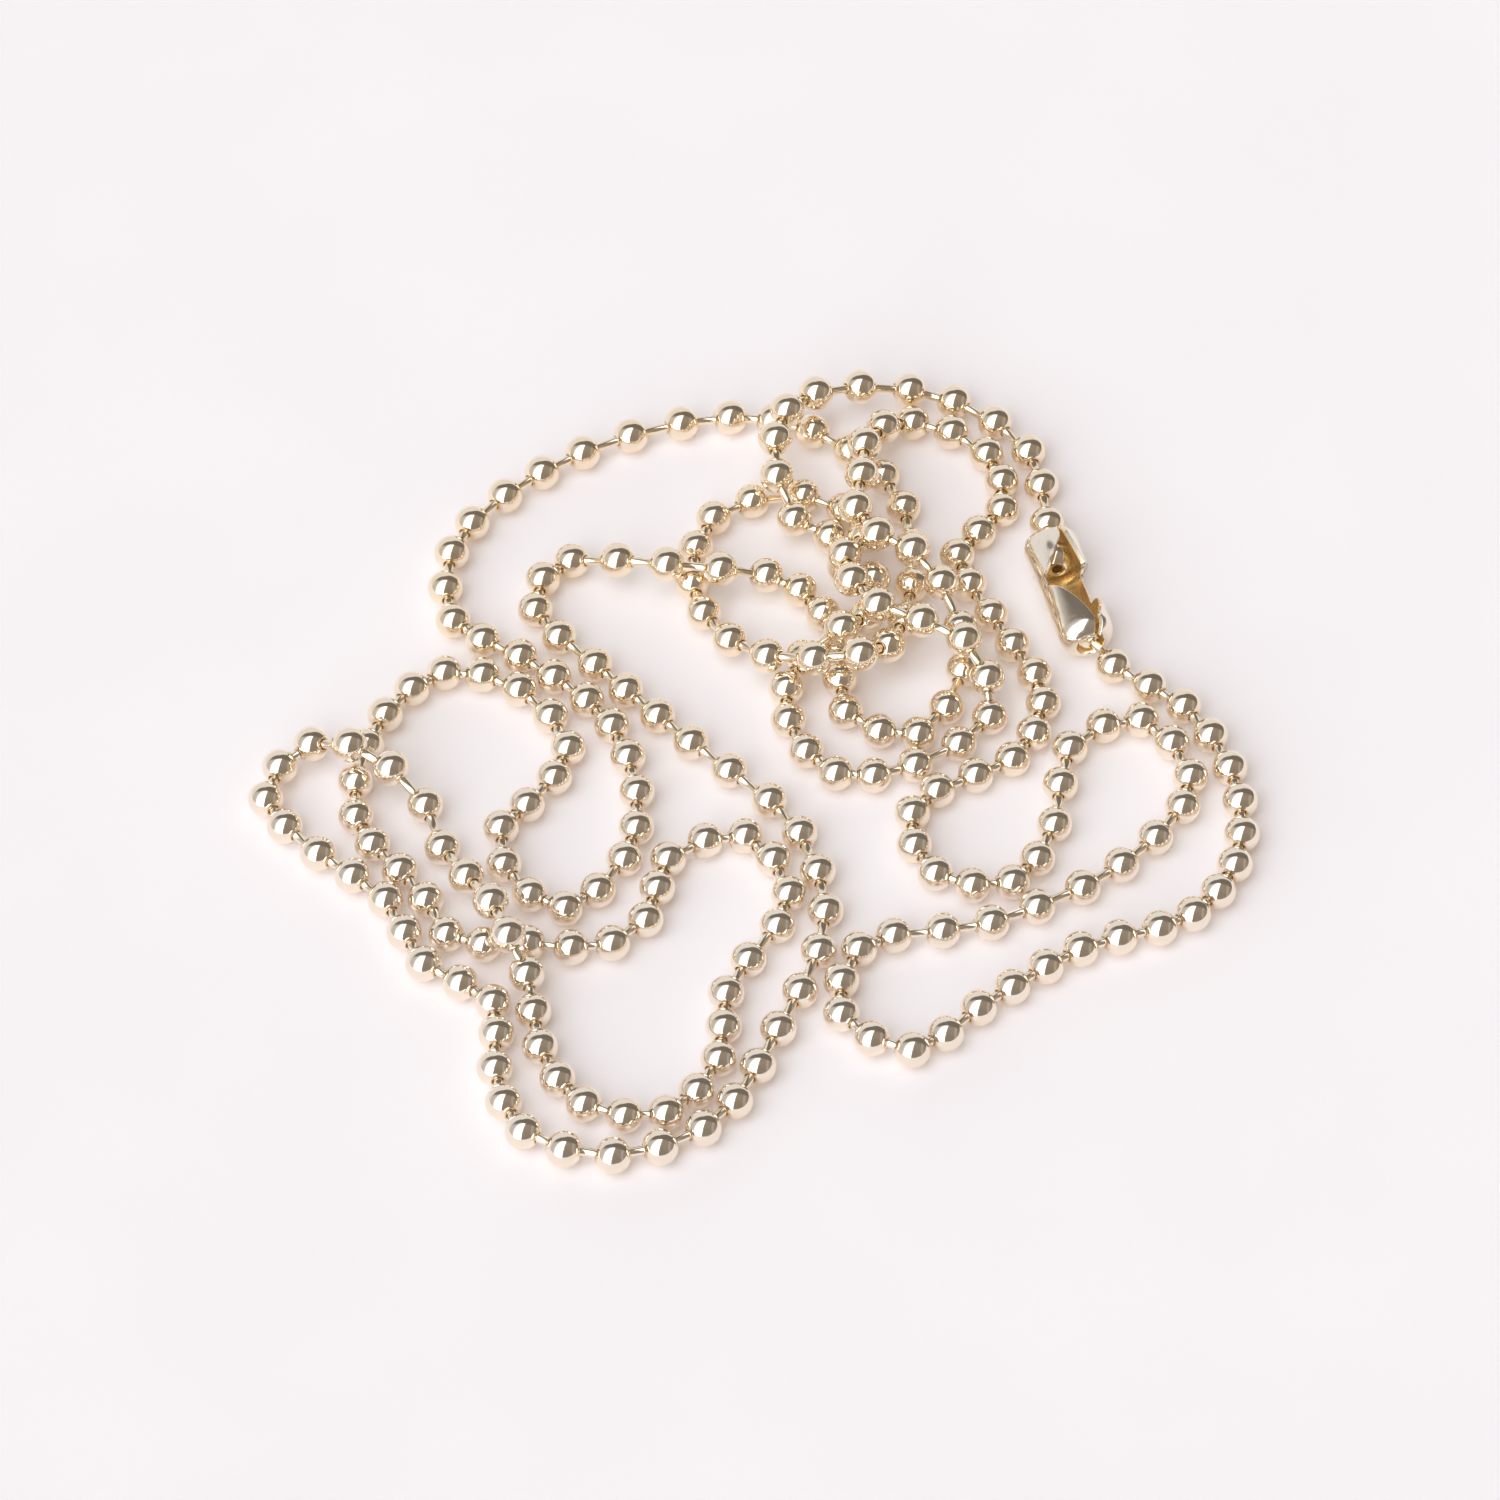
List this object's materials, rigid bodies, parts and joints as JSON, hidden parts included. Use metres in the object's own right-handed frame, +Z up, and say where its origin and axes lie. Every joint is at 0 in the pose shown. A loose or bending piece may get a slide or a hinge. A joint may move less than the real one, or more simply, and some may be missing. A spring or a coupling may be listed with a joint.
{
  "type": "ball chain necklace",
  "caption": "Loop of small hollow metal balls joined by short wire links and closed by a sheet connector, lying loosely heaped on a flat surface.",
  "frame": {"origin": "middle of the laid chain's box, on the surface that it lies on", "axes": "+Z up from the surface, +X to the viewer's right and +Y away from the viewer, with the connector at the right"},
  "size_m": [0.0668, 0.0672, 0.0058],
  "materials": {
    "ball_metal": "polished pale gold plate",
    "wire_metal": "polished pale gold plate",
    "connector_metal": "polished pale gold plate"
  },
  "bodies": {
    "root": {"ball_chain": "ball_metal", "link_wire": "wire_metal", "connector": "connector_metal"}
  },
  "joints": []
}
